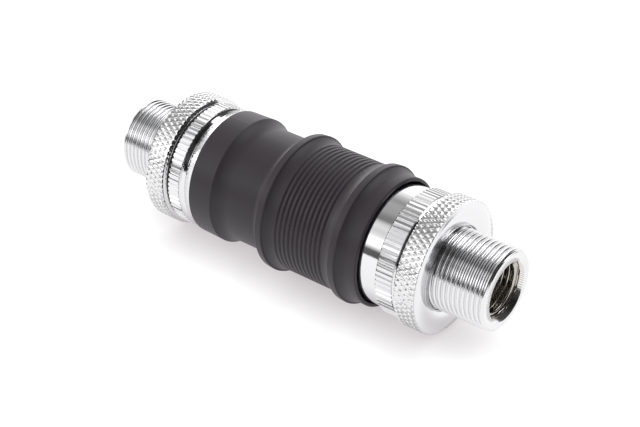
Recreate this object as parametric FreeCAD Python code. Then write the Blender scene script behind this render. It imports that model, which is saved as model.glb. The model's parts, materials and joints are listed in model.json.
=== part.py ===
"""Valved quick coupling for a liquid cooling line, drawn joined, with both panel nuts run up.

Everything lies along X, in millimetres. X = 0 is the face of the socket's port,
and the plug's port faces +X. Most pieces are (x, radius) profiles turned about X.
"""
import FreeCAD, Part
import math
import os

# Panel thread, nut and port, the same at both ends
THREAD_LENGTH = 12.5
THREAD_RADIUS = 9.15
THREAD_HEIGHT = 0.65
THREAD_LEAD = 0.45
UNDERCUT_AHEAD = 0.1
UNDERCUT_WIDTH = 0.6
PORT_MAJOR_RADIUS = 6.58
PORT_MOUTH_DEPTH = 1.0
PORT_THREAD_HEIGHT = 0.86
PORT_DEPTH = 13.0
FLOW_STEP = 1.22
NUT_LENGTH = 5.6
NUT_FIT = 0.05
NUT_RIM = 0.8
NUT_CHAMFER = 0.35
NUT_LEAD = 0.6
PANEL_SEAL_THICKNESS = 0.45

# Knurls
DIAMOND_COUNT = 70
DIAMOND_COLUMNS = 4
DIAMOND_BAND_SHARE = 0.86
DIAMOND_DEPTH = 0.42
STRAIGHT_COUNT = 76
STRAIGHT_DEPTH = 0.3
KNURL_MARGIN = 0.35
KNURL_STEP = 0.05

# How far a cutting shape runs past the face it opens
OVERCUT = 1.0

# Lengths along the socket
SOCKET_FLANGE_LENGTH = 3.6
TAIL_NECK_LENGTH = 1.0
COLLAR_LENGTH = 2.1
SHELL_REAR_LENGTH = 6.1
SHELL_FALL_LENGTH = 3.6
NECK_LENGTH = 7.7
NECK_OVERLAP = 4.9
RIB_LENGTH = 6.6
GRIP_LENGTH = 12.9
LIP_LENGTH = 2.2
SLEEVE_TRAVEL = 3.4

# Lengths along the plug
PLUG_BARREL_LENGTH = 5.85
PLUG_FLANGE_LENGTH = 4.75
NOSE_LENGTH = 12.1
NOSE_GAP = 0.2
NOSE_CHAMFER = 0.6

# Radii outward from the plug's nose
NOSE_RADIUS = 9.0
NOSE_FIT = 0.03
NOSE_WALL = 1.3
BALL_SINK = 0.9
BALL_RADIUS = 1.5
BALL_PLAY = 0.03
LAND_PLAY = 0.07
LAND_FIT = 0.06
BODY_SEAT_STEP = 0.86
PRESS_FIT = 0.02
NECK_WALL = 1.34
SLEEVE_FIT = 0.06
GRIP_WALL = 1.26
RIB_HEIGHT = 1.15
SHELL_STEP = 1.3
SHELL_TAPER = 0.18
COLLAR_BEVEL = 0.86
BARREL_STEP = 0.48
MOUTH_GAP = 0.47
FLANGE_STEP = 0.72
TAIL_NECK_STEP = 1.8

# Release sleeve details
SLEEVE_EDGE = 0.3
RIB_REAR_SHARE = 0.33
RIB_FRONT_SHARE = 0.37
RIB_ROUND = 0.35
RIB_TAPER = 0.1
GROOVE_COUNT = 11
GROOVE_WIDTH = 0.66
GROOVE_DEPTH = 0.3
LIP_CHAMFER = 0.25
SLEEVE_WALL_STEP = 0.52
STOP_GAP = 0.05
LAND_LENGTH = 3.5
RING_LEAD = 0.5
RING_THICKNESS = 0.9
RING_HEIGHT = 0.7
RING_GROOVE_DEPTH = 0.6
RING_SLOT = 1.6
RING_PLAY = 0.2
SLEEVE_SPRING_WIRE_RADIUS = 0.5
SLEEVE_SPRING_HALF_TURNS = 10

# Lock balls and nose seal
BALL_COUNT = 8
BALL_SETBACK = 8.4
BALL_HOLE_FIT = 0.04
BALL_LIP = 0.05
BALL_LIP_HEIGHT = 0.14
BALL_GROOVE_HALF_FLAT = 0.62
NOSE_SEAL_SETBACK = 1.2
NOSE_SEAL_WIDTH = 1.5
NOSE_SEAL_HEIGHT = 1.15

# Spigots that join each tail to its body
SPIGOT_STEP = 0.55
SPIGOT_WELL_WALL = 1.5
SPIGOT_WELL_LENGTH = 2.6
SOCKET_SPIGOT_LENGTH = 7.9
PLUG_SPIGOT_LENGTH = 6.6
TAIL_SEAL_DEPTH = 1.0
TAIL_SEAL_WIDTH = 1.2
TAIL_SEAL_SETBACK = 0.7

# Valves
CHAMBER_STEP = 1.0
GUIDE_THICKNESS = 1.6
GUIDE_WINDOW_COUNT = 7
STEM_RADIUS = 1.5
STEM_FIT = 0.04
STEM_OVERRUN = 1.1
VALVE_OPENING = 2.4
VALVE_CLOSED_GAP = 0.5
PIN_RADIUS = 2.4
PIN_CHAMFER = 0.3
SPRING_BOSS_LENGTH = 1.0
SPRING_BOSS_PLAY = 0.25
SEAL_WIRE_RADIUS = 0.75
SEAL_SINK = 0.6
SEAL_SETBACK = 1.1
SEAL_PLAY = 0.01
SOCKET_SEAT_HEIGHT = 2.4
SOCKET_THROAT_LENGTH = 1.8
SOCKET_HEAD_CLEARANCE = 1.4
SOCKET_HEAD_LENGTH = 2.2
PLUG_SEAT_HEIGHT = 1.8
PLUG_THROAT_LENGTH = 0.8
PLUG_HEAD_CLEARANCE = 1.2
PLUG_HEAD_LENGTH = 1.8
VALVE_SPRING_RADIUS = 3.75
VALVE_SPRING_WIRE_RADIUS = 0.4
SOCKET_VALVE_HALF_TURNS = 14
PLUG_VALVE_HALF_TURNS = 9
VALVE_SPRING_PLAY = 0.04

# Stations along X that follow
SOCKET_NUT_X = THREAD_LENGTH
SOCKET_SEAL_X = SOCKET_NUT_X + NUT_LENGTH
SOCKET_FLANGE_X = SOCKET_SEAL_X + PANEL_SEAL_THICKNESS
TAIL_NECK_X = SOCKET_FLANGE_X + SOCKET_FLANGE_LENGTH
COLLAR_X = TAIL_NECK_X + TAIL_NECK_LENGTH
SHELL_X = COLLAR_X + COLLAR_LENGTH
SHELL_CREST_X = SHELL_X + SHELL_REAR_LENGTH
NECK_X = SHELL_CREST_X + SHELL_FALL_LENGTH
SLEEVE_X = NECK_X + NECK_LENGTH
SHELL_END_X = SLEEVE_X + NECK_OVERLAP
GRIP_X = SLEEVE_X + RIB_LENGTH
FRONT_RIB_X = GRIP_X + GRIP_LENGTH
SLEEVE_END_X = FRONT_RIB_X + RIB_LENGTH + LIP_LENGTH
BALL_X = SLEEVE_END_X - BALL_SETBACK
LAND_X = BALL_X - LAND_LENGTH
SPRING_ROOM_X = SHELL_END_X + SLEEVE_TRAVEL + STOP_GAP
RING_X = BALL_X + SLEEVE_TRAVEL + RING_LEAD
RING_END_X = RING_X + RING_THICKNESS
MOUTH_X = RING_END_X + RING_THICKNESS
PLUG_SHOULDER_X = MOUTH_X + RING_THICKNESS + 2 * NOSE_GAP
SOCKET_END_X = PLUG_SHOULDER_X - 2 * NOSE_GAP
MEETING_X = PLUG_SHOULDER_X - NOSE_LENGTH
SOCKET_FACE_X = MEETING_X - NOSE_GAP / 2
PLUG_NOSE_X = MEETING_X + NOSE_GAP / 2
NOSE_SEAL_X = MEETING_X + NOSE_SEAL_SETBACK
PLUG_FLANGE_X = PLUG_SHOULDER_X + PLUG_BARREL_LENGTH
PLUG_FACE_X = PLUG_FLANGE_X + PLUG_FLANGE_LENGTH
PLUG_NUT_X = PLUG_FACE_X + PANEL_SEAL_THICKNESS
PLUG_END_X = PLUG_NUT_X + NUT_LENGTH + THREAD_LENGTH
SOCKET_GUIDE_X = COLLAR_X + SOCKET_SPIGOT_LENGTH
SOCKET_GUIDE_END_X = SOCKET_GUIDE_X + GUIDE_THICKNESS
PLUG_SPIGOT_X = PLUG_FACE_X - PLUG_SPIGOT_LENGTH
PLUG_GUIDE_X = PLUG_SPIGOT_X - GUIDE_THICKNESS
SOCKET_TAIL_SEAL_X = COLLAR_X + TAIL_SEAL_SETBACK
PLUG_TAIL_SEAL_X = PLUG_FACE_X - TAIL_SEAL_SETBACK - TAIL_SEAL_WIDTH

# Radii that follow
BALL_GROOVE_RADIUS = NOSE_RADIUS - BALL_SINK
BALL_CIRCLE_RADIUS = BALL_GROOVE_RADIUS + BALL_RADIUS + BALL_PLAY
LAND_RADIUS = BALL_CIRCLE_RADIUS + BALL_RADIUS + LAND_PLAY
RELIEF_RADIUS = LAND_RADIUS + BALL_SINK
SOCKET_NOSE_RADIUS = LAND_RADIUS - LAND_FIT
SOCKET_BORE_RADIUS = NOSE_RADIUS + NOSE_FIT
NOSE_SEAL_OUTER_RADIUS = NOSE_RADIUS + NOSE_SEAL_HEIGHT
RING_GROOVE_RADIUS = SOCKET_NOSE_RADIUS - RING_GROOVE_DEPTH
RING_RADIUS = RELIEF_RADIUS + RING_HEIGHT
RING_ROOM_RADIUS = RING_RADIUS + RING_PLAY
BODY_SEAT_RADIUS = SOCKET_NOSE_RADIUS + BODY_SEAT_STEP
SHELL_BORE_RADIUS = BODY_SEAT_RADIUS + PRESS_FIT
NECK_RADIUS = SHELL_BORE_RADIUS + NECK_WALL
SLEEVE_BORE_RADIUS = NECK_RADIUS + SLEEVE_FIT
SPRING_ROOM_RADIUS = SLEEVE_BORE_RADIUS - SLEEVE_WALL_STEP
SLEEVE_SPRING_RADIUS = (SOCKET_NOSE_RADIUS + SPRING_ROOM_RADIUS) / 2
GRIP_RADIUS = SLEEVE_BORE_RADIUS + GRIP_WALL
RIB_RADIUS = GRIP_RADIUS + RIB_HEIGHT
SHELL_CREST_RADIUS = NECK_RADIUS + SHELL_STEP
SHELL_REAR_RADIUS = SHELL_CREST_RADIUS - SHELL_TAPER
PLUG_RADIUS = RING_ROOM_RADIUS + BARREL_STEP
MOUTH_RADIUS = PLUG_RADIUS + MOUTH_GAP
FLANGE_RADIUS = PLUG_RADIUS + FLANGE_STEP
TAIL_NECK_RADIUS = FLANGE_RADIUS - TAIL_NECK_STEP
NUT_RADIUS = FLANGE_RADIUS + NUT_RIM
NUT_BORE_RADIUS = THREAD_RADIUS + NUT_FIT
SPIGOT_RADIUS = THREAD_RADIUS - SPIGOT_STEP
SPIGOT_BORE_RADIUS = SPIGOT_RADIUS + PRESS_FIT
SPIGOT_WELL_RADIUS = SPIGOT_RADIUS - SPIGOT_WELL_WALL
TAIL_SEAL_RADIUS = SPIGOT_RADIUS - TAIL_SEAL_DEPTH
PORT_BORE_RADIUS = PORT_MAJOR_RADIUS - PORT_THREAD_HEIGHT
FLOW_RADIUS = PORT_BORE_RADIUS - FLOW_STEP
SOCKET_CHAMBER_RADIUS = SPIGOT_RADIUS - CHAMBER_STEP
SOCKET_THROAT_RADIUS = SOCKET_CHAMBER_RADIUS - SOCKET_SEAT_HEIGHT
SOCKET_HEAD_RADIUS = SOCKET_CHAMBER_RADIUS - SOCKET_HEAD_CLEARANCE
PLUG_CHAMBER_RADIUS = BALL_GROOVE_RADIUS - NOSE_WALL
PLUG_THROAT_RADIUS = PLUG_CHAMBER_RADIUS - PLUG_SEAT_HEIGHT
PLUG_HEAD_RADIUS = PLUG_CHAMBER_RADIUS - PLUG_HEAD_CLEARANCE

AXIS = FreeCAD.Vector(1, 0, 0)
ORIGIN = FreeCAD.Vector(0, 0, 0)


def at(x, radius, angle=0.0):
    """Point at a station, a radius and an angle about X that is 0 at the top."""
    return FreeCAD.Vector(x, radius * math.sin(angle), radius * math.cos(angle))


def turned(profile):
    """Solid turned about X from (x, r) corners; (x, r, mid_x, mid_r) ends an arc."""
    edges = []
    last = at(*profile[0][:2])
    for step in profile[1:] + profile[:1]:
        here = at(*step[:2])
        if here.isEqual(last, 1e-7):
            continue
        if len(step) == 4:
            edges.append(Part.Arc(last, at(*step[2:]), here).toShape())
        else:
            edges.append(Part.LineSegment(last, here).toShape())
        last = here
    return Part.Face(Part.Wire(edges)).revolve(ORIGIN, AXIS, 360)


def tube(x0, x1, inner, outer):
    """Plain ring between two stations."""
    return turned([(x0, inner), (x1, inner), (x1, outer), (x0, outer)])


def rod(x0, x1, radius):
    """Plain cylinder between two stations."""
    return Part.makeCylinder(radius, x1 - x0, at(x0, 0), AXIS)


def spring(x0, x1, radius, wire_radius, half_turns):
    """Round wire coil that fills the length between two stations, swept half a turn at a time."""
    rise = (x1 - x0 - 2 * wire_radius) / half_turns
    path = Part.Wire(Part.makeHelix(2 * rise, rise, radius))
    slope = FreeCAD.Vector(0, math.pi * radius, rise)
    circle = Part.Wire(Part.makeCircle(wire_radius, FreeCAD.Vector(radius, 0, 0), slope))
    sweep = path.makePipeShell([circle], False, True)
    up = FreeCAD.Vector(0, 0, 1)
    faces = [Part.Face(circle)]
    for index in range(half_turns):
        half = sweep.copy()
        half.rotate(ORIGIN, up, 180 * index)
        half.translate(up * (rise * index))
        faces += half.Faces
    end = faces[0].copy()
    end.rotate(ORIGIN, up, 180 * half_turns)
    end.translate(up * (rise * half_turns))
    shell = Part.makeShell(faces + [end])
    shell.sewShape()
    coil = Part.Solid(shell)
    coil.rotate(ORIGIN, FreeCAD.Vector(0, 1, 0), 90)
    coil.translate(at(x0 + wire_radius, 0))
    return coil


def straight_knurl(x0, x1, radius):
    """Bar with straight grooves along it and flat lands between them."""
    step = 2 * math.pi / STRAIGHT_COUNT
    corners = []
    for tooth in range(STRAIGHT_COUNT):
        angle = tooth * step
        corners.append(at(x0, radius, angle))
        corners.append(at(x0, radius, angle + 0.5 * step))
        corners.append(at(x0, radius - STRAIGHT_DEPTH, angle + 0.75 * step))
    outline = Part.makePolygon(corners + corners[:1])
    return Part.Face(outline).extrude(at(x1 - x0, 0))


def diamond_knurl(x0, x1, radius):
    """Bar covered with small pyramids, from two crossing families of V grooves."""
    rows = 2 * DIAMOND_COUNT
    pitch = (x1 - x0) / DIAMOND_COLUMNS

    def corner(column, row):
        high = (column + row) % 2 == 0
        height = radius if high else radius - DIAMOND_DEPTH
        return at(x0 + column * pitch, height, row * math.pi / DIAMOND_COUNT)

    faces = []
    for column in (0, DIAMOND_COLUMNS):
        ring = [corner(column, row) for row in range(rows)]
        faces.append(Part.Face(Part.makePolygon(ring + ring[:1])))
    for column in range(DIAMOND_COLUMNS):
        for row in range(rows):
            a, b = corner(column, row), corner(column, row + 1)
            c, d = corner(column + 1, row), corner(column + 1, row + 1)
            if (column + row) % 2 == 0:
                triangles = ([a, b, c], [d, c, b])
            else:
                triangles = ([b, a, d], [c, d, a])
            faces += [Part.Face(Part.makePolygon(t + t[:1])) for t in triangles]
    shell = Part.makeShell(faces)
    shell.sewShape()
    return Part.Solid(shell)


def edged(bar, x0, x1, start, end, inside, bevel):
    """Knurled bar between start and end, with a plain bevelled edge out to x0 and to x1."""
    edge = inside - bevel
    rear = turned([(x0, 0), (x0, edge), (start, inside), (start, 0)])
    front = turned([(end, 0), (end, inside), (x1, edge), (x1, 0)])
    return bar.fuse(rear).fuse(front)


def nut_bore(x0, x1):
    """Nut's threaded hole with a lead at both ends."""
    wide = NUT_BORE_RADIUS + NUT_LEAD
    return turned([
        (x0 - OVERCUT, 0), (x0 - OVERCUT, wide), (x0, wide), (x0 + NUT_LEAD, NUT_BORE_RADIUS),
        (x1 - NUT_LEAD, NUT_BORE_RADIUS), (x1, wide), (x1 + OVERCUT, wide), (x1 + OVERCUT, 0)])


def lock_nut(x0):
    """Round panel nut with a diamond knurl."""
    margin = 0.5 * (1 - DIAMOND_BAND_SHARE) * NUT_LENGTH
    x1 = x0 + NUT_LENGTH
    bar = diamond_knurl(x0 + margin, x1 - margin, NUT_RADIUS)
    inside = NUT_RADIUS - DIAMOND_DEPTH - KNURL_STEP
    nut = edged(bar, x0, x1, x0 + margin, x1 - margin, inside, NUT_CHAMFER)
    return nut.cut(nut_bore(x0, x1))


def knurled_flange(x0, x1):
    """Flange with a straight knurl."""
    bar = straight_knurl(x0 + KNURL_MARGIN, x1 - KNURL_MARGIN, FLANGE_RADIUS)
    inside = FLANGE_RADIUS - STRAIGHT_DEPTH - KNURL_STEP
    return edged(bar, x0, x1, x0 + KNURL_MARGIN, x1 - KNURL_MARGIN, inside, KNURL_MARGIN / 2)


def thread_undercut(nut_x, inward):
    """Root-deep groove that ends the free thread just ahead of the nut's outer face at nut_x."""
    start = nut_x - inward * UNDERCUT_AHEAD
    end = start + inward * UNDERCUT_WIDTH
    return tube(min(start, end), max(start, end), THREAD_RADIUS - THREAD_HEIGHT, THREAD_RADIUS + OVERCUT)


def port_bore(face_x, inward):
    """Port's mouth, lead and threaded hole, from a face at face_x; inward is +1 or -1 along X."""
    outside = face_x - inward * OVERCUT
    mouth_end = face_x + inward * PORT_MOUTH_DEPTH
    lead_end = mouth_end + inward * PORT_THREAD_HEIGHT
    return turned([
        (outside, 0), (outside, PORT_MAJOR_RADIUS), (mouth_end, PORT_MAJOR_RADIUS),
        (lead_end, PORT_BORE_RADIUS), (face_x + inward * PORT_DEPTH, PORT_BORE_RADIUS),
        (face_x + inward * (PORT_DEPTH + FLOW_STEP), FLOW_RADIUS),
        (face_x + inward * (PORT_DEPTH + FLOW_STEP), 0)])


def spigot_well(end_x, inward):
    """Wide mouth at a spigot's free end that narrows to the flow bore."""
    outside = end_x - inward * OVERCUT
    narrow = SPIGOT_WELL_LENGTH + SPIGOT_WELL_RADIUS - FLOW_RADIUS
    return turned([
        (outside, 0), (outside, SPIGOT_WELL_RADIUS),
        (end_x + inward * SPIGOT_WELL_LENGTH, SPIGOT_WELL_RADIUS),
        (end_x + inward * narrow, FLOW_RADIUS), (end_x + inward * narrow, 0)])


def socket_tail():
    """Panel thread, knurled flange and spigot, bored through."""
    groove_end = SOCKET_TAIL_SEAL_X + TAIL_SEAL_WIDTH
    tail = turned([
        (0, 0), (0, THREAD_RADIUS - THREAD_HEIGHT), (THREAD_LEAD, THREAD_RADIUS),
        (SOCKET_FLANGE_X + KNURL_MARGIN, THREAD_RADIUS), (SOCKET_FLANGE_X + KNURL_MARGIN, TAIL_NECK_RADIUS),
        (COLLAR_X, TAIL_NECK_RADIUS), (COLLAR_X, SPIGOT_RADIUS),
        (SOCKET_TAIL_SEAL_X, SPIGOT_RADIUS), (SOCKET_TAIL_SEAL_X, TAIL_SEAL_RADIUS),
        (groove_end, TAIL_SEAL_RADIUS), (groove_end, SPIGOT_RADIUS),
        (SOCKET_GUIDE_X, SPIGOT_RADIUS), (SOCKET_GUIDE_X, 0)])
    tail = tail.fuse(knurled_flange(SOCKET_FLANGE_X, TAIL_NECK_X))
    tail = tail.cut(thread_undercut(SOCKET_NUT_X, 1))
    flow = rod(PORT_DEPTH, SOCKET_GUIDE_X, FLOW_RADIUS)
    return tail.cut(flow).cut(port_bore(0, 1)).cut(spigot_well(SOCKET_GUIDE_X, -1))


def socket_body():
    """Collar, shell seat and nose with the valve seat, nose seal groove and ball holes."""
    seat_end = SOCKET_FACE_X - SOCKET_THROAT_LENGTH
    seal_end = NOSE_SEAL_X + NOSE_SEAL_WIDTH
    edge = KNURL_MARGIN
    body = turned([
        (COLLAR_X, SPIGOT_BORE_RADIUS), (SOCKET_GUIDE_END_X, SPIGOT_BORE_RADIUS),
        (SOCKET_GUIDE_END_X, SOCKET_CHAMBER_RADIUS),
        (seat_end - SOCKET_SEAT_HEIGHT, SOCKET_CHAMBER_RADIUS), (seat_end, SOCKET_THROAT_RADIUS),
        (SOCKET_FACE_X, SOCKET_THROAT_RADIUS), (SOCKET_FACE_X, SOCKET_BORE_RADIUS),
        (NOSE_SEAL_X, SOCKET_BORE_RADIUS), (NOSE_SEAL_X, NOSE_SEAL_OUTER_RADIUS),
        (seal_end, NOSE_SEAL_OUTER_RADIUS), (seal_end, SOCKET_BORE_RADIUS),
        (SOCKET_END_X - NOSE_CHAMFER, SOCKET_BORE_RADIUS), (SOCKET_END_X, SOCKET_BORE_RADIUS + NOSE_CHAMFER),
        (SOCKET_END_X, SOCKET_NOSE_RADIUS - edge), (SOCKET_END_X - edge, SOCKET_NOSE_RADIUS),
        (RING_END_X, SOCKET_NOSE_RADIUS), (RING_END_X, RING_GROOVE_RADIUS),
        (RING_X, RING_GROOVE_RADIUS), (RING_X, SOCKET_NOSE_RADIUS),
        (SHELL_END_X, SOCKET_NOSE_RADIUS), (SHELL_END_X, BODY_SEAT_RADIUS),
        (SHELL_X, BODY_SEAT_RADIUS), (SHELL_X, SHELL_REAR_RADIUS),
        (COLLAR_X, SHELL_REAR_RADIUS - COLLAR_BEVEL)])
    lip_top = SOCKET_BORE_RADIUS + BALL_LIP_HEIGHT
    reach = SOCKET_NOSE_RADIUS - SOCKET_BORE_RADIUS + 2 * OVERCUT
    for index in range(BALL_COUNT):
        angle = 2 * math.pi * index / BALL_COUNT
        way = at(0, 1, angle)
        hole = Part.makeCylinder(BALL_RADIUS + BALL_HOLE_FIT, reach, at(BALL_X, lip_top, angle), way)
        lip = Part.makeCylinder(BALL_RADIUS - BALL_LIP, reach, at(BALL_X, lip_top - 2 * OVERCUT, angle), way)
        body = body.cut(hole.fuse(lip))
    return body


def hollow(run, height):
    """Middle of a hollow curve that leaves its foot level: distance back from the foot, and rise."""
    turn = 2 * math.atan(height / run)
    size = run / math.sin(turn)
    return size * math.sin(turn / 2), size * (1 - math.cos(turn / 2))


def socket_shell():
    """Fixed cover: rear section that falls in one hollow curve to the plain neck."""
    back, rise = hollow(SHELL_FALL_LENGTH, SHELL_STEP)
    return turned([
        (SHELL_X, SHELL_BORE_RADIUS), (SHELL_END_X, SHELL_BORE_RADIUS), (SHELL_END_X, NECK_RADIUS),
        (NECK_X, NECK_RADIUS), (SHELL_CREST_X, SHELL_CREST_RADIUS, NECK_X - back, NECK_RADIUS + rise),
        (SHELL_X, SHELL_REAR_RADIUS)])


def rib(x, foot):
    """Corners of one gripping rib that rises from the radius foot and falls to the grip."""
    rise_run = RIB_REAR_SHARE * RIB_LENGTH
    fall_run = RIB_FRONT_SHARE * RIB_LENGTH
    crest = x + rise_run
    end = x + RIB_LENGTH
    fall = end - fall_run
    top = RIB_RADIUS - RIB_TAPER
    inset = RIB_ROUND * (1 - math.sqrt(0.5))
    rear_back, rear_rise = hollow(rise_run, top - RIB_ROUND - foot)
    front_back, front_rise = hollow(fall_run, RIB_RADIUS - RIB_ROUND - GRIP_RADIUS)
    return [
        (x, foot),
        (crest, top - RIB_ROUND, x + rear_back, foot + rear_rise),
        (crest + RIB_ROUND, top, crest + inset, top - inset),
        (fall - RIB_ROUND, RIB_RADIUS),
        (fall, RIB_RADIUS - RIB_ROUND, fall - inset, RIB_RADIUS - inset),
        (end, GRIP_RADIUS, end - front_back, GRIP_RADIUS + front_rise)]


def release_sleeve():
    """Grip sleeve pushed forward by its spring: two ribs, fine grooves between them and a thin lip."""
    profile = [(SLEEVE_X, SLEEVE_BORE_RADIUS)] + rib(SLEEVE_X, SLEEVE_BORE_RADIUS + SLEEVE_EDGE)
    pitch = GRIP_LENGTH / GROOVE_COUNT
    half = GROOVE_WIDTH / 2
    for index in range(GROOVE_COUNT):
        x = GRIP_X + (index + 0.5) * pitch
        profile += [(x - half, GRIP_RADIUS), (x, GRIP_RADIUS - GROOVE_DEPTH), (x + half, GRIP_RADIUS)]
    profile += rib(FRONT_RIB_X, GRIP_RADIUS)
    profile += [
        (SLEEVE_END_X - LIP_CHAMFER, GRIP_RADIUS), (SLEEVE_END_X, GRIP_RADIUS - LIP_CHAMFER),
        (SLEEVE_END_X, MOUTH_RADIUS), (MOUTH_X, MOUTH_RADIUS), (MOUTH_X, RING_ROOM_RADIUS),
        (RING_X, RING_ROOM_RADIUS), (RING_X, RELIEF_RADIUS), (BALL_X, RELIEF_RADIUS),
        (BALL_X, LAND_RADIUS), (LAND_X, LAND_RADIUS), (LAND_X, SPRING_ROOM_RADIUS),
        (SPRING_ROOM_X, SPRING_ROOM_RADIUS), (SPRING_ROOM_X, SLEEVE_BORE_RADIUS)]
    return turned(profile)


def sleeve_snap_ring():
    """Split ring that stops the sleeve."""
    ring = tube(RING_X, RING_END_X, RING_GROOVE_RADIUS, RING_RADIUS)
    slot = Part.makeBox(RING_THICKNESS + 2 * OVERCUT, RING_SLOT, RING_RADIUS + OVERCUT)
    slot.translate(FreeCAD.Vector(RING_X - OVERCUT, -RING_SLOT / 2, -RING_RADIUS - OVERCUT))
    return ring.cut(slot)


def valve_guide(x):
    """Disc with a hub for the valve's stem, a seat for its spring and round flow windows."""
    guide = tube(x, x + GUIDE_THICKNESS, STEM_RADIUS + STEM_FIT, SPIGOT_RADIUS)
    hub = VALVE_SPRING_RADIUS + VALVE_SPRING_WIRE_RADIUS
    window = (SPIGOT_WELL_RADIUS - hub) / 2
    for index in range(GUIDE_WINDOW_COUNT):
        centre = at(x - OVERCUT, hub + window, 2 * math.pi * index / GUIDE_WINDOW_COUNT)
        guide = guide.cut(Part.makeCylinder(window - PRESS_FIT, GUIDE_THICKNESS + 2 * OVERCUT, centre, AXIS))
    return guide


def poppet_stations(side, cone, head_radius, head_length):
    """X where the sealing cone starts and ends and where the head ends."""
    base = cone + head_radius
    return side * (cone + PIN_RADIUS), side * base, side * (base + head_length)


def valve_seal(side, cone, head_radius, play=0.0):
    """Seal ring set into the poppet's cone, or with some play the room for it."""
    radius = head_radius - SEAL_SETBACK
    centre = at(side * (cone + radius + SEAL_SINK), 0)
    return Part.makeTorus(radius, SEAL_WIRE_RADIUS + play, centre, AXIS)


def poppet(side, cone, head_radius, head_length, stem_end):
    """Valve poppet whose pin ends where the halves meet; side is +1 if its head lies at +X of the pin.

    cone is side * x - radius along the sealing cone with the valve held open.
    """
    cone_tip, cone_base, back = poppet_stations(side, cone, head_radius, head_length)
    boss = VALVE_SPRING_RADIUS - VALVE_SPRING_WIRE_RADIUS - SPRING_BOSS_PLAY
    boss_end = back + side * SPRING_BOSS_LENGTH
    body = turned([
        (MEETING_X, 0), (MEETING_X, PIN_RADIUS - PIN_CHAMFER), (MEETING_X + side * PIN_CHAMFER, PIN_RADIUS),
        (cone_tip, PIN_RADIUS), (cone_base, head_radius), (back, head_radius), (back, boss),
        (boss_end, boss), (boss_end, STEM_RADIUS), (stem_end, STEM_RADIUS), (stem_end, 0)])
    return body.cut(valve_seal(side, cone, head_radius, SEAL_PLAY))


def plug_body():
    """Nose with the ball groove and valve seat, smooth barrel and knurled flange."""
    seat_start = PLUG_NOSE_X + PLUG_THROAT_LENGTH
    half = BALL_GROOVE_HALF_FLAT
    edge = KNURL_MARGIN
    body = turned([
        (PLUG_NOSE_X, PLUG_THROAT_RADIUS), (seat_start, PLUG_THROAT_RADIUS),
        (seat_start + PLUG_SEAT_HEIGHT, PLUG_CHAMBER_RADIUS), (PLUG_GUIDE_X, PLUG_CHAMBER_RADIUS),
        (PLUG_GUIDE_X, SPIGOT_BORE_RADIUS), (PLUG_FLANGE_X + edge, SPIGOT_BORE_RADIUS),
        (PLUG_FLANGE_X + edge, PLUG_RADIUS), (PLUG_SHOULDER_X + edge, PLUG_RADIUS),
        (PLUG_SHOULDER_X, PLUG_RADIUS - edge), (PLUG_SHOULDER_X, NOSE_RADIUS),
        (BALL_X + half + BALL_SINK, NOSE_RADIUS), (BALL_X + half, BALL_GROOVE_RADIUS),
        (BALL_X - half, BALL_GROOVE_RADIUS), (BALL_X - half - BALL_SINK, NOSE_RADIUS),
        (PLUG_NOSE_X + NOSE_CHAMFER, NOSE_RADIUS), (PLUG_NOSE_X, NOSE_RADIUS - NOSE_CHAMFER)])
    flange = knurled_flange(PLUG_FLANGE_X, PLUG_FACE_X)
    return body.fuse(flange.cut(rod(PLUG_FLANGE_X, PLUG_FACE_X, SPIGOT_BORE_RADIUS)))


def plug_tail():
    """Panel thread and spigot of the plug, bored through."""
    groove_end = PLUG_TAIL_SEAL_X + TAIL_SEAL_WIDTH
    tail = turned([
        (PLUG_SPIGOT_X, 0), (PLUG_SPIGOT_X, SPIGOT_RADIUS),
        (PLUG_TAIL_SEAL_X, SPIGOT_RADIUS), (PLUG_TAIL_SEAL_X, TAIL_SEAL_RADIUS),
        (groove_end, TAIL_SEAL_RADIUS), (groove_end, SPIGOT_RADIUS),
        (PLUG_FACE_X, SPIGOT_RADIUS), (PLUG_FACE_X, THREAD_RADIUS),
        (PLUG_END_X - THREAD_LEAD, THREAD_RADIUS), (PLUG_END_X, THREAD_RADIUS - THREAD_HEIGHT),
        (PLUG_END_X, 0)])
    tail = tail.cut(thread_undercut(PLUG_NUT_X + NUT_LENGTH, -1))
    flow = rod(PLUG_SPIGOT_X, PLUG_END_X - PORT_DEPTH, FLOW_RADIUS)
    return tail.cut(flow).cut(port_bore(PLUG_END_X, -1)).cut(spigot_well(PLUG_SPIGOT_X, 1))


def socket_pieces():
    """Fixed pieces of the socket half and the hardware on its tail."""
    return {
        "socket_tail": socket_tail(),
        "socket_lock_nut": lock_nut(SOCKET_NUT_X),
        "socket_panel_seal": tube(SOCKET_SEAL_X, SOCKET_FLANGE_X, NUT_BORE_RADIUS, FLANGE_RADIUS - NUT_CHAMFER),
        "socket_tail_seal": tube(
            SOCKET_TAIL_SEAL_X, SOCKET_TAIL_SEAL_X + TAIL_SEAL_WIDTH, TAIL_SEAL_RADIUS, SPIGOT_BORE_RADIUS),
        "socket_body": socket_body(),
        "socket_shell": socket_shell(),
        "socket_nose_seal": tube(
            NOSE_SEAL_X, NOSE_SEAL_X + NOSE_SEAL_WIDTH, NOSE_RADIUS + SEAL_PLAY, NOSE_SEAL_OUTER_RADIUS)}


def sleeve_pieces():
    """Release sleeve with its spring, stop ring and lock balls."""
    pieces = {
        "release_sleeve": release_sleeve(),
        "sleeve_spring": spring(
            SHELL_END_X, LAND_X, SLEEVE_SPRING_RADIUS, SLEEVE_SPRING_WIRE_RADIUS, SLEEVE_SPRING_HALF_TURNS),
        "sleeve_snap_ring": sleeve_snap_ring()}
    for index in range(BALL_COUNT):
        centre = at(BALL_X, BALL_CIRCLE_RADIUS, 2 * math.pi * index / BALL_COUNT)
        pieces[f"lock_ball_{index + 1}"] = Part.makeSphere(BALL_RADIUS, centre)
    return pieces


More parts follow.
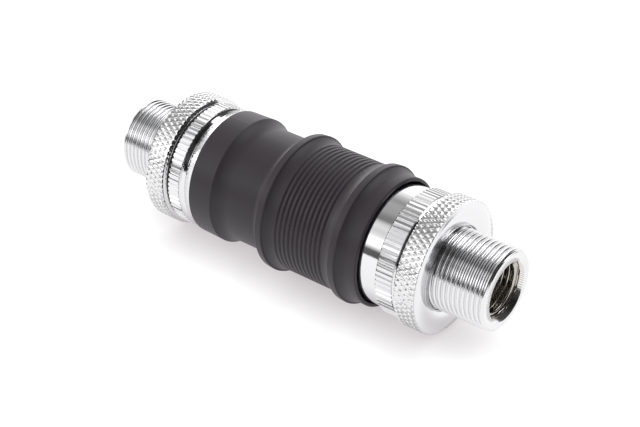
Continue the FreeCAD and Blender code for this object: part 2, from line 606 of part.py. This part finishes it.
def valve_pieces():
    """Poppet, seal, spring and guide of each half, held open against each other."""
    socket_cone = SOCKET_THROAT_LENGTH - SOCKET_FACE_X - SOCKET_THROAT_RADIUS + VALVE_CLOSED_GAP + VALVE_OPENING
    plug_cone = PLUG_NOSE_X + PLUG_THROAT_LENGTH - PLUG_THROAT_RADIUS + VALVE_CLOSED_GAP + VALVE_OPENING
    socket_back = poppet_stations(-1, socket_cone, SOCKET_HEAD_RADIUS, SOCKET_HEAD_LENGTH)[2]
    plug_back = poppet_stations(1, plug_cone, PLUG_HEAD_RADIUS, PLUG_HEAD_LENGTH)[2]
    return {
        "socket_poppet": poppet(
            -1, socket_cone, SOCKET_HEAD_RADIUS, SOCKET_HEAD_LENGTH, SOCKET_GUIDE_X - STEM_OVERRUN),
        "socket_poppet_seal": valve_seal(-1, socket_cone, SOCKET_HEAD_RADIUS),
        "socket_valve_spring": spring(
            SOCKET_GUIDE_END_X, socket_back - VALVE_SPRING_PLAY, VALVE_SPRING_RADIUS, VALVE_SPRING_WIRE_RADIUS,
            SOCKET_VALVE_HALF_TURNS),
        "socket_valve_guide": valve_guide(SOCKET_GUIDE_X),
        "plug_poppet": poppet(1, plug_cone, PLUG_HEAD_RADIUS, PLUG_HEAD_LENGTH, PLUG_SPIGOT_X + STEM_OVERRUN),
        "plug_poppet_seal": valve_seal(1, plug_cone, PLUG_HEAD_RADIUS),
        "plug_valve_spring": spring(
            plug_back + VALVE_SPRING_PLAY, PLUG_GUIDE_X, VALVE_SPRING_RADIUS, VALVE_SPRING_WIRE_RADIUS,
            PLUG_VALVE_HALF_TURNS),
        "plug_valve_guide": valve_guide(PLUG_GUIDE_X)}


def plug_pieces():
    """Pieces of the plug half and the hardware on its tail."""
    return {
        "plug_body": plug_body(),
        "plug_tail": plug_tail(),
        "plug_tail_seal": tube(
            PLUG_TAIL_SEAL_X, PLUG_TAIL_SEAL_X + TAIL_SEAL_WIDTH, TAIL_SEAL_RADIUS, SPIGOT_BORE_RADIUS),
        "plug_panel_seal": tube(PLUG_FACE_X, PLUG_NUT_X, NUT_BORE_RADIUS, TAIL_NECK_RADIUS),
        "plug_lock_nut": lock_nut(PLUG_NUT_X)}


os.makedirs("parts", exist_ok=True)
for pieces in (socket_pieces(), sleeve_pieces(), valve_pieces(), plug_pieces()):
    for name, shape in pieces.items():
        shape.exportStep(f"parts/{name}.step")
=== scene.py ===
"""The quick coupling's looks: threads, knurls, finishes, floor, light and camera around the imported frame."""
import json
import math

import bmesh
import bpy
from mathutils import Matrix, Vector


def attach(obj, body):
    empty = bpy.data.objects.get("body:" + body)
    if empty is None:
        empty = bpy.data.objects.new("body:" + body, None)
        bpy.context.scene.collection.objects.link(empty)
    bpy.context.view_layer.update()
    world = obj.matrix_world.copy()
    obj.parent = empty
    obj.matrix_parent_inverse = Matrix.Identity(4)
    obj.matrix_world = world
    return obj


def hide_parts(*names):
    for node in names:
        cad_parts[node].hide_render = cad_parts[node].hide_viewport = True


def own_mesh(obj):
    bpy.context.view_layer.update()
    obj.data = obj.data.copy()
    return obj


MM = 0.001

# Sizes that repeat the source's, in millimetres
PLUG_END_X = 98.7
THREAD_RADIUS = 9.15
PORT_MAJOR_RADIUS = 6.58
PORT_BORE_RADIUS = 5.72
PORT_DEPTH = 13.0
PORT_MOUTH_DEPTH = 1.0
KNURL_FOOT_RADIUS = 13.75
SOCKET_FLANGE_X = 18.55
TAIL_NECK_RADIUS = 12.4
PLUG_FACE_X = 80.15
FLOOR_Z = -15.83
NUT_RADIUS = 15.0
NUT_LENGTH = 5.6
SOCKET_NUT_X = 12.5
PLUG_NUT_X = 80.6
DIAMOND_COUNT = 70
DIAMOND_COLUMNS = 4

# Groove behind the socket's flange, as shallow as it looks, in millimetres
NECK_SHOWN_RADIUS = 13.5

# Threads, in millimetres and in shares of the pitch or of the height
PANEL_PITCH = 1.15
PANEL_ROOT_RADIUS = 8.5
PANEL_LEAD = 0.45
PANEL_GROOVE = 0.85
PORT_PITCH = 1.337
PORT_LEAD = 0.86
PORT_GROOVE = 1.0
RUN_OUT = 0.6
CREST_SHARE = 0.3
GROOVE_SHARE = 0.1
CREST_SOFTNESS = 0.5
SEAM_SHARE = 0.03
TURN_STEPS = 120
PITCH_STEPS = 10

# Diamond knurl: the band that is taken out of a nut, and the diamonds that take its place, in millimetres
BAND_MARGIN = 0.392
BAND_FOOT_RADIUS = 14.5
BAND_INNER_RADIUS = 14.56
DIAMOND_DEPTH = 0.36
DIAMOND_LAND = 0.5

# Meshes: slack in millimetres, weld and least span in metres
SLACK = 0.004
WELD = 1e-7
LEAST_SPAN = 1e-9
STATION_DIGITS = 2
SHARP_ANGLE = math.radians(30)

# Camera, in metres and pixels, from the photograph's fitted view
CAMERA_PLACE = (0.1334 + PLUG_END_X * MM, -0.2352, 0.2015)
CAMERA_RIGHT = (0.7917, 0.6109, 0.0)
CAMERA_UP = (-0.3439, 0.4457, 0.8265)
CAMERA_BACK = (0.5049, -0.6543, 0.5630)
FOCAL_PIXELS = 1643
PICTURE_WIDTH = 640
SENSOR_MM = 36.0
NEAREST_SEEN = 0.01

# Plating
PLATING = (0.76, 0.76, 0.77)
# Painted shade down the ports: the plating's colour inside the bores is darkened to stand for their shade
PORT_PAINTED_SHADE = (0.5, 0.47, 0.43)
POLISHED = 0.09
KNURL_DULLNESS = 0.08
THREAD_DULLNESS = 0.08
END_FACE = 0.9
STREAK_STRETCH = 0.05
STREAK_SCALE = 1800
STREAK_DETAIL = 2
STREAK_DEPTH = 0.06

# Other finishes: colour, metallic, roughness, then the noise's scale, its stretch along X, its strength in
# the surface and its swing in the roughness
GRAINED = {
    "black_anodised": ((0.061, 0.053, 0.0615), 0.0, 0.4, 2600, 1, 0.25, 0.05),
    "black_rubber": ((0.012, 0.012, 0.012), 0.0, 0.5, 1500, 1, 0.15, 0.06),
    "spring_steel": ((0.52, 0.52, 0.53), 1.0, 0.25, 2500, 1, 0.1, 0.05),
    "ball_steel": ((0.7, 0.7, 0.72), 1.0, 0.1, 3000, 1, 0.03, 0.02),
    "white_plastic": ((0.78, 0.78, 0.75), 0.0, 0.4, 900, 1, 0.1, 0.06),
    "plain_brass": ((0.76, 0.56, 0.27), 1.0, 0.25, 1200, 8, 0.15, 0.05)}
GRAIN_DETAIL = 3
GRAIN_DEPTH = 0.02
BLACK_SPECULAR = 0.22

# Floor, in metres and shares of white
FLOOR_SIZE = 4.0
FLOOR_COLOR = (0.12, 0.12, 0.12)
FLOOR_ROUGHNESS = 0.9
FLOOR_GLOW = (1.06, 1.06, 1.06)
# Painted shadow: the floor's glow falls to this colour where the coupling covers it
FLOOR_SHADE = (0.47, 0.43, 0.448)
FLOOR_LIGHT = 0.6
SHADE_REACH = 0.01
SHADE_SAMPLES = 16

# Room: degrees from +Y over the top to -Y with the level there, then how it changes towards +X and -X
HALF_TURN = 180
ROOM_STRIPS = [
    (0, 1.3), (36, 1.3), (52, 0.62), (64, 0.34), (74, 0.44), (92, 0.4), (103, 0.25), (110, 0.22), (117, 0.75),
    (124, 0.9), (132, 0.75), (141, 0.95), (146, 1.5), (158, 1.5), (163, 0.8), (168, 0.12), (180, 0.1)]
DARK_SIDE = 0.95
DARK_SIDE_START = 0.1
DARK_SIDE_REACH = 0.3
BRIGHT_SIDE = 1.3
BRIGHT_SIDE_START = 0.45
BRIGHT_SIDE_REACH = 0.4

# Key light, in metres and watts
KEY_PLACE = (0.25, 0.35, 0.6)
KEY_TARGET = (0.05, 0, 0)
KEY_SIZE = 0.5
KEY_POWER = 2.0

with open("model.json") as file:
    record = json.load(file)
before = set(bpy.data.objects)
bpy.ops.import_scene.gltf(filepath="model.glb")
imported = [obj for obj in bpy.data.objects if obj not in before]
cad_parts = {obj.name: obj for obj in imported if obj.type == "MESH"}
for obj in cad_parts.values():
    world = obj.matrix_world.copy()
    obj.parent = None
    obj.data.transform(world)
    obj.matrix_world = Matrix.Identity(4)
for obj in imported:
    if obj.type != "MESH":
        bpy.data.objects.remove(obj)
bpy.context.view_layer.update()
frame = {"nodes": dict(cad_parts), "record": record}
nodes = frame["nodes"]
scene = bpy.context.scene


def linked(name, data):
    """New object in the scene."""
    made = bpy.data.objects.new(name, data)
    scene.collection.objects.link(made)
    return made


def dress(obj, finish):
    """Gives an object one material."""
    obj.data.materials.clear()
    obj.data.materials.append(finish)


# Materials

def material(name, color, metallic, roughness):
    """Principled material with a plain colour, its node tree and its shader."""
    made = bpy.data.materials.new(name)
    made.use_nodes = True
    shader = made.node_tree.nodes["Principled BSDF"]
    shader.inputs["Base Color"].default_value = (*color, 1)
    shader.inputs["Metallic"].default_value = metallic
    shader.inputs["Roughness"].default_value = roughness
    return made, made.node_tree, shader


def feed(tree, value, slot):
    """Sets an input to a number, or links another node's output to it."""
    if isinstance(value, (int, float)):
        slot.default_value = value
    else:
        tree.links.new(value, slot)


def reckon(tree, operation, *values):
    """Output of a math node that is fed with numbers or other outputs."""
    node = tree.nodes.new("ShaderNodeMath")
    node.operation = operation
    for slot, value in zip(node.inputs, values):
        feed(tree, value, slot)
    return node.outputs["Value"]


def parted(tree, vector):
    """Outputs X, Y and Z of a vector."""
    node = tree.nodes.new("ShaderNodeSeparateXYZ")
    tree.links.new(vector, node.inputs["Vector"])
    return node.outputs


def blended(tree, share, first, second):
    """Colour that goes from the first to the second as the share goes from 0 to 1."""
    node = tree.nodes.new("ShaderNodeMix")
    node.data_type = "RGBA"
    node.inputs["A"].default_value = (*first, 1)
    node.inputs["B"].default_value = (*second, 1)
    tree.links.new(share, node.inputs["Factor"])
    return node.outputs["Result"]


def speckled(tree, scale, stretch, detail):
    """Noise that is fixed to the object and scaled along X by the stretch."""
    place = tree.nodes.new("ShaderNodeTexCoord")
    mapping = tree.nodes.new("ShaderNodeMapping")
    mapping.inputs["Scale"].default_value = (stretch, 1, 1)
    noise = tree.nodes.new("ShaderNodeTexNoise")
    noise.inputs["Scale"].default_value = scale
    noise.inputs["Detail"].default_value = detail
    tree.links.new(place.outputs["Object"], mapping.inputs["Vector"])
    tree.links.new(mapping.outputs["Vector"], noise.inputs["Vector"])
    return noise.outputs["Fac"]


def embossed(tree, height, depth, strength):
    """Shapes a material's surface by a height output, over a depth in millimetres."""
    bump = tree.nodes.new("ShaderNodeBump")
    bump.inputs["Distance"].default_value = depth * MM
    feed(tree, strength, bump.inputs["Strength"])
    tree.links.new(height, bump.inputs["Height"])
    tree.links.new(bump.outputs["Normal"], tree.nodes["Principled BSDF"].inputs["Normal"])


def plated(name):
    """Bright plating, duller on knurls and threads, with painted shade down the ports: a darker colour inside
    the bores.
    """
    made, tree, shader = material(name, PLATING, 1.0, POLISHED)
    place = tree.nodes.new("ShaderNodeTexCoord")
    geometry = tree.nodes.new("ShaderNodeNewGeometry")
    spot = parted(tree, place.outputs["Object"])
    facing = parted(tree, geometry.outputs["Normal"])
    across = reckon(tree, "MULTIPLY", spot["Y"], spot["Y"])
    up = reckon(tree, "MULTIPLY", spot["Z"], spot["Z"])
    radius = reckon(tree, "SQRT", reckon(tree, "ADD", across, up))
    outer = reckon(tree, "GREATER_THAN", radius, KNURL_FOOT_RADIUS * MM)
    inner = reckon(tree, "LESS_THAN", radius, (THREAD_RADIUS + SLACK) * MM)
    # Painted shade: mask of the ports' bores, where the plating's colour is darkened
    port = reckon(tree, "LESS_THAN", radius, (PORT_MAJOR_RADIUS - SLACK) * MM)
    side = reckon(tree, "LESS_THAN", reckon(tree, "ABSOLUTE", facing["X"]), END_FACE)
    knurl = reckon(tree, "MULTIPLY", side, outer)
    thread = reckon(tree, "MULTIPLY", side, inner)
    rough = reckon(tree, "MULTIPLY_ADD", knurl, KNURL_DULLNESS, POLISHED)
    rough = reckon(tree, "MULTIPLY_ADD", thread, THREAD_DULLNESS, rough)
    tree.links.new(rough, shader.inputs["Roughness"])
    # Painted shade down the ports: the bores take the darker colour
    tree.links.new(blended(tree, port, PLATING, PORT_PAINTED_SHADE), shader.inputs["Base Color"])
    embossed(tree, speckled(tree, STREAK_SCALE, STREAK_STRETCH, STREAK_DETAIL), STREAK_DEPTH, knurl)
    return made


def grained(name, color, metallic, roughness, scale, stretch, strength, swing):
    """Material with fine noise in its surface and its roughness."""
    made, tree, shader = material(name, color, metallic, roughness)
    grain = speckled(tree, scale, stretch, GRAIN_DETAIL)
    embossed(tree, grain, GRAIN_DEPTH, strength)
    spread = tree.nodes.new("ShaderNodeMapRange")
    spread.inputs["To Min"].default_value = roughness - swing
    spread.inputs["To Max"].default_value = roughness + swing
    tree.links.new(grain, spread.inputs["Value"])
    tree.links.new(spread.outputs["Result"], shader.inputs["Roughness"])
    return made


# Threads, knurls and springs

def thread_height(phase):
    """Share of a thread's height at a share of its pitch, with soft crests and roots."""
    ramp = (1 - abs(2 * phase - 1) - GROOVE_SHARE) / (1 - GROOVE_SHARE - CREST_SHARE)
    ramp = min(max(ramp, 0.0), 1.0)
    return (1 - CREST_SOFTNESS) * ramp + CREST_SOFTNESS * ramp * ramp * (3 - 2 * ramp)


def thread_strip(free_x, inner_x, crest, root, pitch, lead, depth):
    """Points and faces of a right-handed thread about X.

    It is cut back at its free end and runs out at its inner end. Rows of points follow the helix, so the
    crests stay sharp, and rows past an end are laid onto it. The end rings keep off the crest and the root,
    so that close_seams finds a gap to bridge.
    """
    x0, x1 = min(free_x, inner_x), max(free_x, inner_x)
    last = int(math.ceil((x1 - x0) / pitch * PITCH_STEPS)) + PITCH_STEPS
    rows = range(-PITCH_STEPS, last + 1)
    points = []
    for row in rows:
        for column in range(TURN_STEPS):
            turn = column / TURN_STEPS
            x = x0 + pitch * (row / PITCH_STEPS + turn)
            x = min(max(x, x0), x1)
            height = 1 - depth * (1 - thread_height(((x - x0) / pitch - turn) % 1.0))
            height = min(height, abs(x - free_x) / lead)
            height = max(height, 1 - abs(x - inner_x) / RUN_OUT)
            if x in (x0, x1):
                height = min(max(height, SEAM_SHARE), 1 - SEAM_SHARE)
            radius = root + (crest - root) * height
            angle = 2 * math.pi * turn
            points.append((x * MM, -radius * math.sin(angle) * MM, radius * math.cos(angle) * MM))
    faces = []
    for row in range(len(rows) - 1 - PITCH_STEPS):
        for column in range(TURN_STEPS):
            here = row * TURN_STEPS + column
            beside = here + 1 if column + 1 < TURN_STEPS else (row + PITCH_STEPS) * TURN_STEPS
            corners = [here, beside, beside + TURN_STEPS, here + TURN_STEPS]
            xs = [points[corner][0] for corner in corners]
            if max(xs) - min(xs) > LEAST_SPAN:
                faces.append(corners if crest > root else corners[::-1])
    return points, faces


def diamond_band(start, end):
    """Points and faces of a band of flat-topped diamonds between two crossing families of grooves."""
    pitch = (end - start) / DIAMOND_COLUMNS
    whole = [(0, 1), (1, 0), (0, -1), (-1, 0)]
    halves = {0: [(0, 1), (1, 0), (0, -1)], DIAMOND_COLUMNS: [(0, -1), (-1, 0), (0, 1)]}
    points = []
    faces = []

    def place(column, row, radius):
        angle = row * math.pi / DIAMOND_COUNT
        return Vector((start + column * pitch, radius * math.sin(angle), radius * math.cos(angle)))

    def add(corners, outward):
        normal = (corners[1] - corners[0]).cross(corners[2] - corners[1])
        if normal.dot(outward) < 0:
            corners = corners[::-1]
        faces.append(list(range(len(points), len(points) + len(corners))))
        points.extend(corner * MM for corner in corners)

    for column in range(DIAMOND_COLUMNS + 1):
        ways = halves.get(column, whole)
        for row in range(column % 2, 2 * DIAMOND_COUNT, 2):
            middle = place(column, row, 1.0)
            away = Vector((0, middle.y, middle.z))
            base = [place(column + c, row + r, NUT_RADIUS - DIAMOND_DEPTH) for c, r in ways]
            top = [place(column + DIAMOND_LAND * c, row + DIAMOND_LAND * r, NUT_RADIUS) for c, r in ways]
            add(top, away)
            for here in range(4 if ways is whole else 2):
                beside = (here + 1) % len(ways)
                add([base[here], base[beside], top[beside], top[here]], away)
            if ways is not whole:
                foot = [place(column, row + way[1], BAND_INNER_RADIUS) for way in (ways[2], ways[0])]
                outline = [foot[1], base[0], top[0], top[2], base[2], foot[0]]
                add(outline, Vector((1 if column else -1, 0, 0)))
    return points, faces


def reach(face):
    """Where a face's corners are along X and how far from it, in millimetres."""
    xs = [vertex.co.x / MM for vertex in face.verts]
    radii = [math.hypot(vertex.co.y, vertex.co.z) / MM for vertex in face.verts]
    return xs, radii


def is_plain_wall(face, start, end, low, high):
    """Whether a face lies on a plain wall that a thread takes the place of."""
    xs, radii = reach(face)
    if min(xs) < min(start, end) - SLACK or max(xs) > max(start, end) + SLACK:
        return False
    if max(abs(x - start) for x in xs) < SLACK:
        return False
    return min(radii) > low - SLACK and max(radii) < high + SLACK


def is_in_band(face, start, end):
    """Whether a face belongs to the pyramids that the diamonds take the place of."""
    xs, radii = reach(face)
    return min(radii) > BAND_FOOT_RADIUS and min(xs) > start - SLACK and max(xs) < end + SLACK


def cut_copy(node, is_doomed):
    """Copy of a node's mesh, to be built on, without the faces that the question finds."""
    build = bmesh.new()
    build.from_mesh(nodes[node].data)
    doomed = [face for face in build.faces if is_doomed(face)]
    bmesh.ops.delete(build, geom=doomed, context="FACES")
    return build


def add_faces(build, points, faces):
    """Adds points and the faces between them."""
    corners = [build.verts.new(point) for point in points]
    for face in faces:
        build.faces.new([corners[index] for index in face])


def close_seams(build):
    """Joins the two rings of open edges that face each other at each station along X."""
    rings = {}
    for edge in build.edges:
        if edge.is_boundary:
            rings.setdefault(round(edge.verts[0].co.x / MM, STATION_DIGITS), []).append(edge)
    for edges in rings.values():
        bmesh.ops.bridge_loops(build, edges=edges)
    bmesh.ops.recalc_face_normals(build, faces=build.faces)


def finish_copy(build, node, body, ending):
    """Object from a changed copy of a node's mesh, which takes the node's place on its body."""
    loose = [vertex for vertex in build.verts if not vertex.link_faces]
    bmesh.ops.delete(build, geom=loose, context="VERTS")
    bmesh.ops.remove_doubles(build, verts=build.verts, dist=WELD)
    close_seams(build)
    mesh = bpy.data.meshes.new(f"{node}_{ending}")
    build.to_mesh(mesh)
    build.free()
    mesh.polygons.foreach_set("use_smooth", [True] * len(mesh.polygons))
    mesh.set_sharp_from_angle(angle=SHARP_ANGLE)
    piece = linked(f"{node}_{ending}", mesh)
    dress(piece, finishes["bright_metal"])
    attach(piece, body)
    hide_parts(node)


def threaded(node, body, free_x, panel_x, inward):
    """Copy of a tail whose plain cylinders give way to cut threads; inward is +1 or -1 along X."""
    mouth_x = free_x + inward * PORT_MOUTH_DEPTH
    port_x = free_x + inward * PORT_DEPTH
    panel = (free_x, panel_x, PANEL_ROOT_RADIUS, THREAD_RADIUS)
    port = (mouth_x, port_x, PORT_BORE_RADIUS, PORT_MAJOR_RADIUS)
    build = cut_copy(node, lambda face: is_plain_wall(face, *panel) or is_plain_wall(face, *port))
    add_faces(build, *thread_strip(
        free_x, panel_x, THREAD_RADIUS, PANEL_ROOT_RADIUS, PANEL_PITCH, PANEL_LEAD, PANEL_GROOVE))
    add_faces(build, *thread_strip(
        mouth_x, port_x, PORT_BORE_RADIUS, PORT_MAJOR_RADIUS, PORT_PITCH, PORT_LEAD, PORT_GROOVE))
    for vertex in build.verts:
        radius = math.hypot(vertex.co.y, vertex.co.z) / MM
        if vertex.co.x > SOCKET_FLANGE_X * MM and abs(radius - TAIL_NECK_RADIUS) < SLACK:
            vertex.co.y *= NECK_SHOWN_RADIUS / TAIL_NECK_RADIUS
            vertex.co.z *= NECK_SHOWN_RADIUS / TAIL_NECK_RADIUS
    finish_copy(build, node, body, "threaded")


def knurled(node, body, nut_x):
    """Copy of a nut whose pyramids give way to flat-topped diamonds."""
    start = nut_x + BAND_MARGIN
    end = nut_x + NUT_LENGTH - BAND_MARGIN
    build = cut_copy(node, lambda face: is_in_band(face, start, end))
    add_faces(build, *diamond_band(start, end))
    finish_copy(build, node, body, "knurled")


def sprung(node, body):
    """Copy of a spring with its own mesh, which takes the node's place on its body."""
    piece = linked(f"{node}_coil", nodes[node].data.copy())
    dress(piece, finishes["spring_steel"])
    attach(piece, body)
    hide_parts(node)
    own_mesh(piece)


# Floor, room, light and camera

def white_floor():
    """Wide pale floor under the lowest point, with a painted shadow: it glows less where the coupling covers
    it.
    """
    bpy.ops.mesh.primitive_plane_add(size=FLOOR_SIZE, location=(PLUG_END_X * MM / 2, 0, FLOOR_Z * MM))
    floor = bpy.context.object
    floor.name = "floor"
    white, tree, shader = material("floor_white", FLOOR_COLOR, 0.0, FLOOR_ROUGHNESS)
    path = tree.nodes.new("ShaderNodeLightPath")
    seen = reckon(tree, "MAXIMUM", path.outputs["Is Camera Ray"], path.outputs["Is Glossy Ray"])
    strength = reckon(tree, "MULTIPLY_ADD", seen, 1 - FLOOR_LIGHT, FLOOR_LIGHT)
    tree.links.new(strength, shader.inputs["Emission Strength"])
    # Painted shadow on the floor: ambient occlusion within the shade's reach darkens the floor's glow near the
    # coupling
    painted_shadow = tree.nodes.new("ShaderNodeAmbientOcclusion")
    painted_shadow.samples = SHADE_SAMPLES
    painted_shadow.inputs["Distance"].default_value = SHADE_REACH
    glow = blended(tree, painted_shadow.outputs["AO"], FLOOR_SHADE, FLOOR_GLOW)
    tree.links.new(glow, shader.inputs["Emission Color"])
    dress(floor, white)


def share_of(tree, value, start, span):
    """How far a value is past a start, as a share of a span from 0 to 1."""
    share = reckon(tree, "DIVIDE", reckon(tree, "SUBTRACT", value, start), span)
    return reckon(tree, "MINIMUM", reckon(tree, "MAXIMUM", share, 0.0), 1.0)


def surroundings():
    """White room with strips of grey that run along X, as bright metal shows them."""
    world = bpy.data.worlds.new("room")
    scene.world = world
    world.use_nodes = True
    tree = world.node_tree
    back = tree.nodes["Background"]
    place = tree.nodes.new("ShaderNodeTexCoord")
    way = parted(tree, place.outputs["Generated"])
    turn = reckon(tree, "DIVIDE", reckon(tree, "ARCTAN2", way["Z"], way["Y"]), math.pi)
    ramp = tree.nodes.new("ShaderNodeValToRGB")
    stops = ramp.color_ramp.elements
    for index, (angle, level) in enumerate(ROOM_STRIPS):
        stop = stops[index] if index < 2 else stops.new(1.0)
        stop.position = angle / HALF_TURN
        stop.color = (level, level, level, 1)
    tree.links.new(turn, ramp.inputs["Fac"])
    tree.links.new(ramp.outputs["Color"], back.inputs["Color"])
    behind_x = reckon(tree, "MULTIPLY", way["X"], -1.0)
    ahead = share_of(tree, way["X"], DARK_SIDE_START, DARK_SIDE_REACH)
    behind = share_of(tree, behind_x, BRIGHT_SIDE_START, BRIGHT_SIDE_REACH)
    level = reckon(tree, "MULTIPLY_ADD", ahead, -DARK_SIDE, 1.0)
    level = reckon(tree, "MULTIPLY_ADD", behind, BRIGHT_SIDE, level)
    tree.links.new(level, back.inputs["Strength"])


def key_light():
    """Square light from above and behind."""
    data = bpy.data.lights.new("key", "AREA")
    data.shape = "SQUARE"
    data.size = KEY_SIZE
    data.energy = KEY_POWER
    lamp = linked("key", data)
    lamp.location = KEY_PLACE
    lamp.rotation_euler = (Vector(KEY_TARGET) - Vector(KEY_PLACE)).to_track_quat("-Z", "Y").to_euler()


def camera():
    """Camera at the photograph's place."""
    data = bpy.data.cameras.new("camera")
    data.sensor_width = SENSOR_MM
    data.lens = FOCAL_PIXELS / PICTURE_WIDTH * SENSOR_MM
    data.clip_start = NEAREST_SEEN
    eye = linked("camera", data)
    turn = Matrix((CAMERA_RIGHT, CAMERA_UP, CAMERA_BACK)).transposed().to_4x4()
    eye.matrix_world = Matrix.Translation(CAMERA_PLACE) @ turn
    scene.camera = eye


finishes = {"bright_metal": plated("chrome")}
for slot, look in GRAINED.items():
    finishes[slot] = grained(slot, *look)
black_shader = finishes["black_anodised"].node_tree.nodes["Principled BSDF"]
black_shader.inputs["Specular IOR Level"].default_value = BLACK_SPECULAR
for part in frame["record"]["subparts"]:
    dress(nodes[part["node"]], finishes[part["material_slot"]])

threaded("socket_tail", "socket", 0.0, SOCKET_FLANGE_X, 1)
threaded("plug_tail", "plug", PLUG_END_X, PLUG_FACE_X, -1)
knurled("socket_lock_nut", "socket_nut", SOCKET_NUT_X)
knurled("plug_lock_nut", "plug_nut", PLUG_NUT_X)
sprung("sleeve_spring", "socket")
sprung("socket_valve_spring", "socket")
sprung("plug_valve_spring", "plug")

white_floor()
surroundings()
key_light()
camera()
scene.view_settings.view_transform = "Standard"
